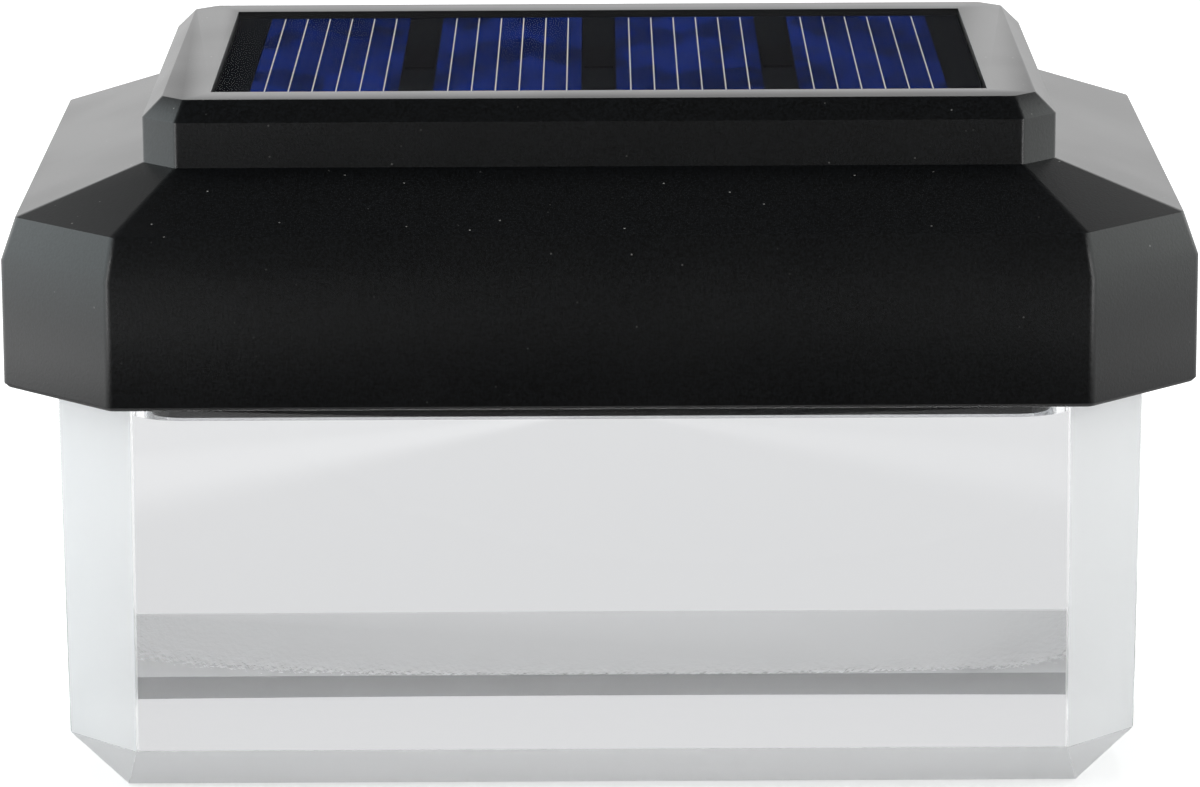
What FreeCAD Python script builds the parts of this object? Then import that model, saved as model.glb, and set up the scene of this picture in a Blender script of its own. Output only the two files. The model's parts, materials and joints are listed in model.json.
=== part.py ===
import FreeCAD, Part
import math
import os
import re
import Sketcher

# Fence light: a black chamfered head with a solar panel on top, standing on a
# solid clear block that its two lamps shine down into.
# Frame, in millimetres: the origin is the middle of the block's underside,
# X runs along the long front, Y from front to back, and Z up.

# ---------------------------------------------------------------- sizes
# Each row is a name, a size in millimetres and what it is.
SIZES = [
    ("block_height", 43.6, "clear block, foot to top face"),
    ("block_side", 5.25, "block's top, in from the head's ends along X"),
    ("block_front", 4.8, "block's top, in from the head's front and back"),
    ("block_corner", 8.0, "legs of the block's upright corner chamfers, at its top"),
    ("corner_taper", 0.7, "how much shorter those legs are at the floor"),
    ("block_draft", 0.5, "how much each side leans in from the top to the floor"),
    ("foot_rise", 5.1, "height of the bevel round the block's foot"),
    ("foot_inset", 5.9, "how far that bevel runs in"),
    ("cap_width", 120.0, "head along X"),
    ("cap_depth", 90.0, "head along Y"),
    ("cap_corner", 11.4, "legs of the head's upright corner chamfers"),
    ("cap_overlap", 2.0, "how far the skirt hangs over the block's top"),
    ("skirt_height", 13.0, "upright skirt of the head"),
    ("eave_rise", 4.3, "steep bevel above the skirt"),
    ("eave_inset", 1.5, "how far that bevel runs in"),
    ("roof_rise", 4.5, "rise of the sloped roof"),
    ("tier_inset", 14.0, "raised tier, in from the skirt"),
    ("tier_corner", 3.5, "legs of the tier's corner chamfers"),
    ("tier_height", 4.6, "upright side of the tier"),
    ("tier_bevel_rise", 2.0, "bevel round the tier's top"),
    ("tier_bevel_inset", 2.0, "how far that bevel runs in"),
    ("skirt_round", 1.2, "radius of the skirt's eight upright edges"),
    ("skirt_edge", 0.4, "bevel round the skirt's lower edge"),
    ("tier_round", 0.8, "radius of the tier's eight upright edges"),
    ("cap_wall", 2.2, "wall of the skirt and the tier"),
    ("roof_wall", 2.3, "wall of the roof, measured upright"),
    ("panel_floor", 2.0, "floor under the panel recess"),
    ("rim_side", 4.8, "flat rim left and right of the panel recess"),
    ("rim_front", 4.4, "flat rim before and behind the panel recess"),
    ("recess_depth", 3.0, "panel recess, down from the rim"),
    ("panel_gap", 0.2, "gap round the board in its recess"),
    ("pad_thick", 0.7, "adhesive pad under the solar board"),
    ("solar_board_thick", 1.6, "solar board"),
    ("cell_thick", 0.25, "solar cell"),
    ("cell_side", 3.6, "solar board left and right of the cells"),
    ("cell_front", 1.9, "solar board before and behind the cells"),
    ("cell_gap", 3.6, "gap between two cells"),
    ("link_length", 12.0, "link ribbon between two cells, along Y"),
    ("link_width", 3.0, "link ribbon along X"),
    ("link_shift", -2.0, "middle of the link ribbons along Y"),
    ("glaze_thick", 0.6, "clear coating, up from the solar board"),
    ("gasket_thick", 1.0, "flat gasket on the block's top"),
    ("gasket_margin", 1.6, "gasket, in from the block's edge"),
    ("gasket_lip", 0.4, "gasket's opening, out from the block's pocket"),
    ("flange_gap", 0.3, "gap between the base plate's flange and the skirt"),
    ("flange_thick", 2.4, "flange of the base plate"),
    ("wall_side", 7.8, "block's wall left and right of its pocket"),
    ("wall_front", 6.4, "block's wall before and behind its pocket"),
    ("plug_radius", 5.0, "plug's corner radius"),
    ("plug_drop", 6.2, "plug, down from the flange"),
    ("plug_gap", 0.6, "gap between the plug and the pocket's wall"),
    ("plug_clear", 0.1, "gap between the plug and the pocket's floor"),
    ("tray_wall", 2.4, "wall of the hollow plug"),
    ("tray_floor", 2.4, "floor of the hollow plug"),
    ("tray_radius", 2.6, "inner corner radius of the hollow plug"),
    ("seal_level", 2.4, "seal groove, up from the plug's underside"),
    ("seal_height", 1.6, "seal ring's height"),
    ("seal_depth", 1.0, "how deep the seal ring sits in the plug"),
    ("seal_proud", 0.3, "how far the seal ring stands out of the plug"),
    ("screw_side", 5.5, "head screws, in from the plug's ends along X"),
    ("screw_front", 6.0, "head screws, in from the plug's front and back"),
    ("pillar_size", 8.0, "diameter of the base plate's screw pillars"),
    ("boss_size", 7.5, "diameter of the cap's screw bosses"),
    ("screw_size", 2.9, "thread diameter of the head screws"),
    ("screw_head", 5.6, "head diameter of the head screws"),
    ("screw_head_thick", 2.0, "head thickness of the head screws"),
    ("screw_length", 16.0, "head screws under the head"),
    ("screw_play", 0.25, "play round a screw in a clearance hole"),
    ("thread_play", 0.03, "play round a screw in its own thread"),
    ("head_play", 0.3, "play round a screw head in its counterbore"),
    ("head_sink", 0.4, "screw heads, up from the plug's underside"),
    ("pilot_spare", 2.0, "pilot hole beyond the screw's tip"),
    ("battery_size", 14.2, "battery diameter"),
    ("battery_length", 49.2, "battery without its button"),
    ("button_size", 5.2, "battery button diameter"),
    ("button_length", 1.2, "battery button"),
    ("battery_play", 0.3, "play round the battery in its cradle"),
    ("battery_y", -15.0, "battery axis along Y"),
    ("cradle_x", -4.0, "middle of the cradle along X"),
    ("cradle_wall", 1.6, "end walls of the cradle"),
    ("cradle_side", 1.2, "side walls of the cradle"),
    ("cradle_height", 13.0, "end walls, up from the tray floor"),
    ("cradle_side_height", 8.0, "side walls, up from the tray floor"),
    ("spring_length", 3.4, "contact spring as the battery presses it"),
    ("spring_size", 8.0, "wide end of the contact spring"),
    ("spring_wire", 0.6, "wire of the contact spring"),
    ("contact_thick", 0.4, "contact plates"),
    ("contact_width", 9.0, "contact plates along Y"),
    ("contact_rise", 2.0, "solder tag above the cradle's end wall"),
    ("hatch_ledge", 0.5, "battery opening, in from the cradle's end walls"),
    ("cover_lap", 1.2, "battery cover, beyond the battery's room"),
    ("cover_tab", 5.0, "battery cover, beyond its screw"),
    ("cover_width", 18.0, "battery cover along Y"),
    ("cover_thick", 1.6, "battery cover"),
    ("cover_play", 0.2, "gap round the battery cover"),
    ("cover_screw_gap", 5.2, "battery cover's screw, beyond the battery's room"),
    ("cover_screw_size", 2.2, "its thread diameter"),
    ("cover_screw_head", 4.2, "its head diameter"),
    ("cover_screw_head_thick", 0.9, "its head thickness"),
    ("cover_screw_length", 6.0, "its length under the head"),
    ("cover_boss_size", 6.0, "its boss"),
    ("cover_boss_height", 5.5, "its boss, up from the tray floor"),
    ("board_length", 60.0, "circuit board along X"),
    ("board_width", 22.0, "circuit board along Y"),
    ("board_thick", 1.6, "circuit board"),
    ("board_y", 14.0, "middle of the circuit board along Y"),
    ("standoff_height", 2.2, "circuit board, up from the tray floor"),
    ("standoff_size", 5.0, "standoff diameter"),
    ("board_screw_inset", 4.0, "board screws, in from the board's ends"),
    ("board_screw_size", 2.0, "thread diameter of the board screws"),
    ("board_screw_head", 3.8, "head diameter of the board screws"),
    ("board_screw_head_thick", 1.4, "head thickness of the board screws"),
    ("board_screw_length", 5.0, "board screws under the head"),
    ("led_inset", 6.0, "the two lamps, in from the board screws"),
    ("led_size", 5.0, "lamp diameter"),
    ("led_rim", 5.8, "lamp's rim diameter"),
    ("led_rim_thick", 1.0, "lamp's rim"),
    ("led_length", 8.6, "lamp with its rim"),
    ("led_play", 0.2, "play round a lamp in the tray floor"),
    ("dimple_play", 0.7, "gap between a lamp and its dimple in the block"),
    ("dimple_tip", 3.5, "flat end of the coned dimple"),
    ("chip_length", 5.0, "driver chip along X"),
    ("chip_width", 4.0, "driver chip along Y"),
    ("chip_thick", 1.5, "driver chip"),
    ("chip_x", -12.0, "driver chip along X"),
    ("coil_size", 6.0, "inductor diameter"),
    ("coil_height", 6.5, "inductor height"),
    ("coil_x", 12.0, "inductor along X"),
    ("switch_length", 8.6, "switch body along X"),
    ("switch_width", 4.4, "switch body along Y"),
    ("switch_height", 2.0, "switch body, down from the board"),
    ("switch_skin", 0.4, "lip that holds the slider in the switch body"),
    ("slider_base_length", 3.0, "slider inside the switch, along X"),
    ("slider_base_width", 2.4, "slider inside the switch, along Y"),
    ("slider_base_height", 0.7, "slider inside the switch, upright"),
    ("slider_play", 0.1, "gap round the slider"),
    ("knob_size", 1.5, "slider's knob, square"),
    ("knob_sink", 0.5, "knob's tip, up from the plug's underside"),
    ("switch_travel", 2.5, "slider's travel"),
    ("finger_length", 12.0, "dished recess round the knob, along X"),
    ("finger_width", 7.0, "dished recess round the knob, along Y"),
    ("finger_depth", 1.2, "dished recess round the knob"),
    ("hanger_span", 60.0, "keyholes in the back of the skirt, spacing along X"),
    ("hanger_level", 5.8, "middle of a keyhole's wide hole, up from the skirt's edge"),
    ("hanger_hole", 6.8, "wide hole, for the screw's head"),
    ("hanger_slot", 3.8, "narrow slot, for the screw's shank"),
    ("hanger_lift", 4.8, "from the wide hole up to the slot's end"),
    ("hanger_room", 3.4, "room behind the wall for the screw's head"),
    ("wire_size", 1.2, "leads with their insulation"),
    ("wire_bend", 3.0, "radius of the leads' bends"),
    ("wire_pitch", 3.0, "between two leads side by side"),
]
CELL_COUNT = 4
SPRING_TURNS = 3

doc = FreeCAD.newDocument("fence_light")
sheet = doc.addObject("Spreadsheet::Sheet", "Sizes")
for row, (alias, size, meaning) in enumerate(SIZES, start=1):
    sheet.set("A%d" % row, alias)
    sheet.set("B%d" % row, str(size))
    sheet.set("C%d" % row, meaning)
    sheet.setAlias("B%d" % row, alias)
doc.recompute()

# Levels and widths that several pieces share, worked out from the sizes.
DERIVED = {
    "block_width": "(cap_width - 2 * block_side)",
    "block_depth": "(cap_depth - 2 * block_front)",
    "pocket_length": "(block_width - 2 * wall_side)",
    "pocket_width": "(block_depth - 2 * wall_front)",
    "plug_length": "(pocket_length - 2 * plug_gap)",
    "plug_width": "(pocket_width - 2 * plug_gap)",
    "tier_width": "(cap_width - 2 * tier_inset)",
    "tier_depth": "(cap_depth - 2 * tier_inset)",
    "recess_length": "(tier_width - 2 * tier_bevel_inset - 2 * rim_side)",
    "recess_width": "(tier_depth - 2 * tier_bevel_inset - 2 * rim_front)",
    "solar_board_length": "(recess_length - 2 * panel_gap)",
    "solar_board_width": "(recess_width - 2 * panel_gap)",
    "cell_row": "(solar_board_length - 2 * cell_side)",
    "cell_width": "((cell_row - %d * cell_gap) / %d)" % (CELL_COUNT - 1, CELL_COUNT),
    "cell_length": "(solar_board_width - 2 * cell_front)",
    "cell_pitch": "(cell_width + cell_gap)",
    "screw_span_x": "(plug_length - 2 * screw_side)",
    "screw_span_y": "(plug_width - 2 * screw_front)",
    "cap_foot": "(block_height - cap_overlap)",
    "skirt_top": "(cap_foot + skirt_height)",
    "eave": "(skirt_top + eave_rise)",
    "tier_foot": "(eave + roof_rise)",
    "tier_shoulder": "(tier_foot + tier_height)",
    "cap_top": "(tier_shoulder + tier_bevel_rise)",
    "recess_floor": "(cap_top - recess_depth)",
    "ceiling": "(recess_floor - panel_floor)",
    "solar_board_foot": "(recess_floor + pad_thick)",
    "solar_board_top": "(solar_board_foot + solar_board_thick)",
    "flange_foot": "(block_height + gasket_thick)",
    "flange_top": "(flange_foot + flange_thick)",
    "plug_foot": "(flange_foot - plug_drop)",
    "tray_top": "(plug_foot + tray_floor)",
    "pocket_floor": "(plug_foot - plug_clear)",
    "pocket_radius": "(plug_radius + plug_gap)",
    "board_foot": "(tray_top + standoff_height)",
    "board_top": "(board_foot + board_thick)",
    "battery_level": "(tray_top + battery_play + battery_size / 2)",
    "battery_whole": "(battery_length + button_length)",
    "cradle_room": "(battery_whole + spring_length + 2 * contact_thick)",
    "cradle_left": "(cradle_x - cradle_room / 2)",
    "cradle_right": "(cradle_x + cradle_room / 2)",
    "cradle_width": "(battery_size + 2 * battery_play)",
    "battery_left": "(cradle_left + contact_thick + spring_length)",
    "contact_height": "(cradle_height + contact_rise)",
    "cover_screw_x": "(cradle_right + cover_screw_gap)",
    "cover_left": "(cradle_left - cover_lap)",
    "cover_length": "(cover_screw_x + cover_tab - cover_left)",
    "cover_x": "(cover_left + cover_length / 2)",
    "board_screw_span": "(board_length - 2 * board_screw_inset)",
    "led_span": "(board_screw_span - 2 * led_inset)",
    "hanger_z": "(cap_foot + hanger_level)",
    "back_face": "(cap_depth / 2)",
}
# A chamfer whose outline is moved in by 1 mm loses this much of each leg.
CORNER_LOSS = "(2 - sqrt(2))"


def full(text):
    """Spell out the derived names and point the sizes at their cells."""
    aliases = {alias for alias, size, meaning in SIZES}
    word = re.compile(r"[a-z_]+[a-z]")
    while any(name in DERIVED for name in word.findall(text)):
        text = word.sub(lambda found: DERIVED.get(found[0], found[0]), text)
    return word.sub(lambda found: ("Sizes." if found[0] in aliases else "") + found[0], text)


def number(text):
    """The value of a size or of a formula of sizes."""
    return float(sheet.evalExpression(full(text)))


def bind(item, **formulas):
    for name, text in formulas.items():
        item.setExpression(name, full(text))
    return item


def move(item, x="0", y="0", z="0", prefix="Placement"):
    for axis, text in (("x", x), ("y", y), ("z", z)):
        item.setExpression("%s.Base.%s" % (prefix, axis), full(text))
    return item


# ---------------------------------------------------------------- outlines
def free_sketch(name, x="0", y="0", z="0"):
    return move(doc.addObject("Sketcher::SketchObject", name), x, y, z)


def body_sketch(body, name, x="0", y="0", z="0", role="XY_Plane"):
    """A sketch on one of the body's own planes, its origin moved to x, y, z in that plane's frame."""
    sketch = body.newObject("Sketcher::SketchObject", name)
    plane = [item for item in body.Origin.OriginFeatures if item.Role == role][0]
    sketch.AttachmentSupport = (plane, [""])
    sketch.MapMode = "FlatFace"
    return move(sketch, x, y, z, prefix="AttachmentOffset")


def rule(sketch, kind, *places, size=None):
    """Add a constraint, and tie it to a formula where it has a size."""
    if size is None:
        return sketch.addConstraint(Sketcher.Constraint(kind, *places))
    index = sketch.addConstraint(Sketcher.Constraint(kind, *places, number(size)))
    sketch.setExpression("Constraints[%d]" % index, full(size))
    return index


def polygon(sketch, points):
    first = sketch.GeometryCount
    corners = [FreeCAD.Vector(x, y, 0) for x, y in points]
    for start, end in zip(corners, corners[1:] + corners[:1]):
        sketch.addGeometry(Part.LineSegment(start, end), False)
    for index in range(len(corners)):
        following = (index + 1) % len(corners)
        rule(sketch, "Coincident", first + index, 2, first + following, 1)
    return first


def rectangle(sketch, width, depth):
    a = number(width) / 2
    b = number(depth) / 2
    foot = polygon(sketch, [(-a, -b), (a, -b), (a, b), (-a, b)])
    right, top, left = foot + 1, foot + 2, foot + 3
    for line in (foot, top):
        rule(sketch, "Horizontal", line)
    for line in (right, left):
        rule(sketch, "Vertical", line)
    rule(sketch, "Symmetric", foot, 1, top, 1, -1, 1)
    rule(sketch, "DistanceX", foot, 1, foot, 2, size=width)
    rule(sketch, "DistanceY", right, 1, right, 2, size=depth)
    return sketch


def octagon(sketch, width, depth, corner):
    """A rectangle with four equal 45 degree corners."""
    a = number(width) / 2
    b = number(depth) / 2
    k = number(corner)
    points = [(k - a, -b), (a - k, -b), (a, k - b), (a, b - k)]
    points += [(a - k, b), (k - a, b), (-a, b - k), (-a, k - b)]
    foot = polygon(sketch, points)
    slant, right, top, left = foot + 1, foot + 2, foot + 4, foot + 6
    for line in (foot, top):
        rule(sketch, "Symmetric", line, 1, line, 2, -2)
    for line in (right, left):
        rule(sketch, "Symmetric", line, 1, line, 2, -1)
    rule(sketch, "Symmetric", foot, 1, top, 2, -1)
    rule(sketch, "Symmetric", right, 1, left, 2, -2)
    rule(sketch, "DistanceX", left, 1, right, 1, size=width)
    rule(sketch, "DistanceY", foot, 1, top, 2, size=depth)
    rule(sketch, "DistanceX", slant, 1, slant, 2, size=corner)
    rule(sketch, "DistanceY", slant, 1, slant, 2, size=corner)
    return sketch


def inset(shape, amount):
    """An octagon's width, depth and corner, moved in by the same amount on all eight sides."""
    width, depth, corner = shape
    return (
        "(%s - 2 * (%s))" % (width, amount),
        "(%s - 2 * (%s))" % (depth, amount),
        "(%s - %s * (%s))" % (corner, CORNER_LOSS, amount),
    )


def soft_octagon(sketch, width, depth, corner, radius):
    """An octagon whose eight corners are rounded."""
    tangent = "(%s) * (sqrt(2) - 1)" % radius
    a = number(width) / 2
    b = number(depth) / 2
    k = number(corner)
    r = number(radius)
    cut_back = number(tangent)
    corners = [(a - k, -b), (a, k - b), (a, b - k), (a - k, b)]
    corners += [(k - a, b), (-a, b - k), (-a, k - b), (k - a, -b)]
    first = sketch.GeometryCount
    ends = []
    for index, (x, y) in enumerate(corners):
        turn = math.radians(45 * index)
        following = turn + math.pi / 4
        stop = FreeCAD.Vector(x - cut_back * math.cos(turn), y - cut_back * math.sin(turn), 0)
        go = FreeCAD.Vector(x + cut_back * math.cos(following), y + cut_back * math.sin(following), 0)
        centre = stop + FreeCAD.Vector(-math.sin(turn), math.cos(turn), 0) * r
        ends.append((stop, go, centre, turn - math.pi / 2))
    for index, (stop, go, centre, start) in enumerate(ends):
        before = ends[index - 1][1]
        sketch.addGeometry(Part.LineSegment(before, stop), False)
        circle = Part.Circle(centre, FreeCAD.Vector(0, 0, 1), r)
        sketch.addGeometry(Part.ArcOfCircle(circle, start, start + math.pi / 4), False)
    for index in range(8):
        line = first + 2 * index
        rule(sketch, "Tangent", line, 2, line + 1, 1)
        rule(sketch, "Tangent", line + 1, 2, first + (2 * index + 2) % 16, 1)
    foot, right, top, left = (first + 4 * side for side in range(4))
    for line in (foot, top):
        rule(sketch, "Symmetric", line, 1, line, 2, -2)
    for line in (right, left):
        rule(sketch, "Symmetric", line, 1, line, 2, -1)
    rule(sketch, "Symmetric", foot, 1, top, 2, -1)
    rule(sketch, "Symmetric", right, 1, left, 2, -2)
    for index in range(1, 8):
        rule(sketch, "Equal", first + 1, first + 1 + 2 * index)
    rule(sketch, "Radius", first + 1, size=radius)
    rule(sketch, "DistanceX", left, 1, right, 1, size=width)
    rule(sketch, "DistanceY", foot, 1, top, 2, size=depth)
    rule(sketch, "DistanceX", foot, 1, foot, 2, size="%s - 2 * (%s) - 2 * %s" % (width, corner, tangent))
    rule(sketch, "DistanceY", right, 1, right, 2, size="%s - 2 * (%s) - 2 * %s" % (depth, corner, tangent))
    return sketch


def diamond(sketch, reach):
    """A square on its corner, whose corners lie at the given reach."""
    r = number(reach)
    foot = polygon(sketch, [(0, -r), (r, 0), (0, r), (-r, 0)])
    right, top, left = foot + 1, foot + 2, foot + 3
    for corner, axis in ((foot, -2), (right, -1), (top, -2), (left, -1)):
        rule(sketch, "PointOnObject", corner, 1, axis)
    rule(sketch, "DistanceY", foot, 1, -1, 1, size=reach)
    rule(sketch, "DistanceX", -1, 1, right, 1, size=reach)
    rule(sketch, "DistanceY", -1, 1, top, 1, size=reach)
    rule(sketch, "DistanceX", left, 1, -1, 1, size=reach)
    return sketch


def rounded(sketch, width, depth, radius):
    a = number(width) / 2
    b = number(depth) / 2
    r = number(radius)
    first = sketch.GeometryCount
    ends = [((r - a, -b), (a - r, -b)), ((a, r - b), (a, b - r))]
    ends += [((a - r, b), (r - a, b)), ((-a, b - r), (-a, r - b))]
    for start, end in ends:
        line = Part.LineSegment(FreeCAD.Vector(*start, 0), FreeCAD.Vector(*end, 0))
        sketch.addGeometry(line, False)
    centres = [(a - r, r - b), (a - r, b - r), (r - a, b - r), (r - a, r - b)]
    for quarter, centre in enumerate(centres):
        circle = Part.Circle(FreeCAD.Vector(*centre, 0), FreeCAD.Vector(0, 0, 1), r)
        start = math.radians(90 * quarter - 90)
        sketch.addGeometry(Part.ArcOfCircle(circle, start, start + math.pi / 2), False)
    for side in range(4):
        arc = first + 4 + side
        rule(sketch, "Tangent", first + side, 2, arc, 1)
        rule(sketch, "Tangent", arc, 2, first + (side + 1) % 4, 1)
    for side in (0, 2):
        rule(sketch, "Horizontal", first + side)
        rule(sketch, "Vertical", first + side + 1)
    for arc in (5, 6, 7):
        rule(sketch, "Equal", first + 4, first + arc)
    rule(sketch, "Symmetric", first + 4, 3, first + 6, 3, -1, 1)
    rule(sketch, "Radius", first + 4, size=radius)
    rule(sketch, "DistanceX", first + 3, 1, first + 1, 1, size=width)
    rule(sketch, "DistanceY", first, 1, first + 2, 1, size=depth)
    return sketch


def round_hole(sketch, diameter):
    circle = Part.Circle(FreeCAD.Vector(), FreeCAD.Vector(0, 0, 1), number(diameter) / 2)
    index = sketch.addGeometry(circle, False)
    rule(sketch, "Coincident", index, 3, -1, 1)
    rule(sketch, "Diameter", index, size=diameter)
    return sketch


def round_holes(sketch, diameter, span_x, span_y=None):
    """Two equal circles along X, or four on a rectangle."""
    x = number(span_x) / 2
    y = number(span_y) / 2 if span_y else 0
    places = [(x, y), (-x, y)] + ([(x, -y), (-x, -y)] if span_y else [])
    for place in places:
        circle = Part.Circle(FreeCAD.Vector(*place, 0), FreeCAD.Vector(0, 0, 1), number(diameter) / 2)
        sketch.addGeometry(circle, False)
    rule(sketch, "DistanceX", -1, 1, 0, 3, size="(%s) / 2" % span_x)
    rule(sketch, "Symmetric", 0, 3, 1, 3, -2)
    if span_y:
        rule(sketch, "DistanceY", -1, 1, 0, 3, size="(%s) / 2" % span_y)
        rule(sketch, "Symmetric", 0, 3, 2, 3, -1)
        rule(sketch, "Symmetric", 0, 3, 3, 3, -1, 1)
    else:
        rule(sketch, "PointOnObject", 0, 3, -1)
    for other in range(1, len(places)):
        rule(sketch, "Equal", 0, other)
    rule(sketch, "Diameter", 0, size=diameter)
    return sketch


def upright_slot(sketch, width, lift):
    """A slot from the sketch's origin up to a half round end."""
    r = number(width) / 2
    rise = number(lift)
    up = FreeCAD.Vector(0, 0, 1)
    sketch.addGeometry(Part.LineSegment(FreeCAD.Vector(r, 0, 0), FreeCAD.Vector(r, rise, 0)), False)
    end = Part.Circle(FreeCAD.Vector(0, rise, 0), up, r)
    sketch.addGeometry(Part.ArcOfCircle(end, 0, math.pi), False)
    sketch.addGeometry(Part.LineSegment(FreeCAD.Vector(-r, rise, 0), FreeCAD.Vector(-r, 0, 0)), False)
    sketch.addGeometry(Part.LineSegment(FreeCAD.Vector(-r, 0, 0), FreeCAD.Vector(r, 0, 0)), False)
    rule(sketch, "Tangent", 0, 2, 1, 1)
    rule(sketch, "Tangent", 1, 2, 2, 1)
    rule(sketch, "Coincident", 2, 2, 3, 1)
    rule(sketch, "Coincident", 3, 2, 0, 1)
    rule(sketch, "Vertical", 0)
    rule(sketch, "Symmetric", 3, 1, 3, 2, -1, 1)
    rule(sketch, "Radius", 1, size="(%s) / 2" % width)
    rule(sketch, "DistanceY", -1, 1, 1, 3, size=lift)
    return sketch


# ---------------------------------------------------------------- features
def new_body(name):
    body = doc.addObject("PartDesign::Body", name)
    body.Label = name
    return body


def pad(body, sketch, height, downwards=False):
    feature = body.newObject("PartDesign::Pad", sketch.Name + "_pad")
    feature.Profile = sketch
    feature.Reversed = downwards
    return bind(feature, Length=height)


def pocket(body, sketch, depth, against=True):
    """Cut against the sketch's normal, or along it."""
    feature = body.newObject("PartDesign::Pocket", sketch.Name + "_cut")
    feature.Profile = sketch
    feature.Reversed = not against
    return bind(feature, Length=depth)


def loft(body, kind, sketches):
    """Straight faces from each outline to the next."""
    feature = body.newObject("PartDesign::" + kind, sketches[0].Name + "_loft")
    feature.Profile = sketches[0]
    feature.Sections = sketches[1:]
    feature.Ruled = True
    return feature


def frustum(name, low, high):
    """A straight-sided solid between two free outlines."""
    solid = doc.addObject("Part::Loft", name)
    solid.Sections = [low, high]
    solid.Solid = True
    solid.Ruled = True
    return solid


def prism(name, sketch, height):
    solid = doc.addObject("Part::Extrusion", name)
    solid.Base = sketch
    solid.DirMode = "Custom"
    solid.Dir = FreeCAD.Vector(0, 0, 1)
    solid.Solid = True
    return bind(solid, LengthFwd=height)


def slab(name, length, width, height, x="0", y="0", z="0"):
    """A box whose underside is centred on x, y at the level z."""
    box = doc.addObject("Part::Box", name)
    bind(box, Length=length, Width=width, Height=height)
    return move(box, "%s - (%s) / 2" % (x, length), "%s - (%s) / 2" % (y, width), z)


def rod(name, diameter, height, x="0", y="0", z="0", turn=None):
    cylinder = doc.addObject("Part::Cylinder", name)
    bind(cylinder, Radius="(%s) / 2" % diameter, Height=height)
    if turn:
        cylinder.Placement.Rotation = turn
    return move(cylinder, x, y, z)


def joined(name, kind, items):
    """Items fused (Part::MultiFuse), kept apart (Part::Compound) or intersected (Part::MultiCommon)."""
    whole = doc.addObject(kind, name)
    if kind == "Part::Compound":
        whole.Links = items
    else:
        whole.Shapes = items
    whole.Label = name
    return whole


def cut(name, base, tool):
    result = doc.addObject("Part::Cut", name)
    result.Base = base
    result.Tool = tool
    result.Label = name
    return result


ALONG_X = FreeCAD.Rotation(FreeCAD.Vector(0, 1, 0), 90)
nodes = []


def keep(item, name=None):
    """Hand a finished sub-part to the export."""
    if name:
        item.Label = name
    nodes.append(item)
    return item


# ---------------------------------------------------------------- clear block
def make_clear_block():
    """Leaning octagonal prism, bevelled to a sharp-cornered foot, with a pocket and two dimples on top."""
    lean = "2 * block_draft"
    low_width = "(block_width - %s)" % lean
    low_depth = "(block_depth - %s)" % lean
    foot = octagon(free_sketch("block_low"), low_width, low_depth, "block_corner - corner_taper")
    crown = octagon(free_sketch("block_high", z="block_height"), "block_width", "block_depth", "block_corner")
    upright = frustum("block_upright", foot, crown)

    # The foot's four bevels, carried on upwards, are the sides of a widening block.
    spread = "2 * (foot_inset - block_draft * foot_rise / block_height) * (block_height / foot_rise)"
    foot_width = "(%s - 2 * foot_inset)" % low_width
    foot_depth = "(%s - 2 * foot_inset)" % low_depth
    toe = rectangle(free_sketch("bevel_low"), foot_width, foot_depth)
    flare = rectangle(
        free_sketch("bevel_high", z="block_height"),
        "%s + %s" % (foot_width, spread),
        "%s + %s" % (foot_depth, spread),
    )
    bevels = frustum("block_bevels", toe, flare)

    # The foot's triangular corner facets lie on the sides of a widening diamond,
    # which passes through the foot's corners and the ends of the corner chamfers.
    drift = "block_draft * foot_rise / block_height"
    crease_corner = "(block_corner - corner_taper * (1 - foot_rise / block_height))"
    low_reach = "((%s + %s) / 2)" % (foot_width, foot_depth)
    crease_reach = "((%s + %s) / 2 + 2 * %s - %s)" % (low_width, low_depth, drift, crease_corner)
    high_reach = "(%s + (%s - %s) * block_height / foot_rise)" % (low_reach, crease_reach, low_reach)
    facet_low = diamond(free_sketch("facet_low"), low_reach)
    facet_high = diamond(free_sketch("facet_high", z="block_height"), high_reach)
    facets = frustum("block_facets", facet_low, facet_high)
    outside = joined("block_outside", "Part::MultiCommon", [upright, bevels, facets])

    well = rounded(free_sketch("well", z="pocket_floor"), "pocket_length", "pocket_width", "pocket_radius")
    hollows = [prism("block_pocket", well, "block_height - pocket_floor + cap_overlap")]
    tip = "board_foot - led_length"
    for side, name in ((-1, "left"), (1, "right")):
        x = "%d * led_span / 2" % side
        across = "led_size + 2 * dimple_play"
        shaft_foot = "%s + led_size / 2" % tip
        depth = "pocket_floor - (%s) + plug_clear" % shaft_foot
        hollows.append(rod("dimple_shaft_" + name, across, depth, x, "board_y", shaft_foot))
        end = doc.addObject("Part::Cone", "dimple_end_" + name)
        bind(end, Radius1="dimple_tip / 2", Radius2="(%s) / 2" % across, Height="(%s) / 2" % across)
        hollows.append(move(end, x, "board_y", "%s - (%s) / 2" % (shaft_foot, across)))
    return keep(cut("clear_block", outside, joined("block_hollows", "Part::MultiFuse", hollows)))


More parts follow.
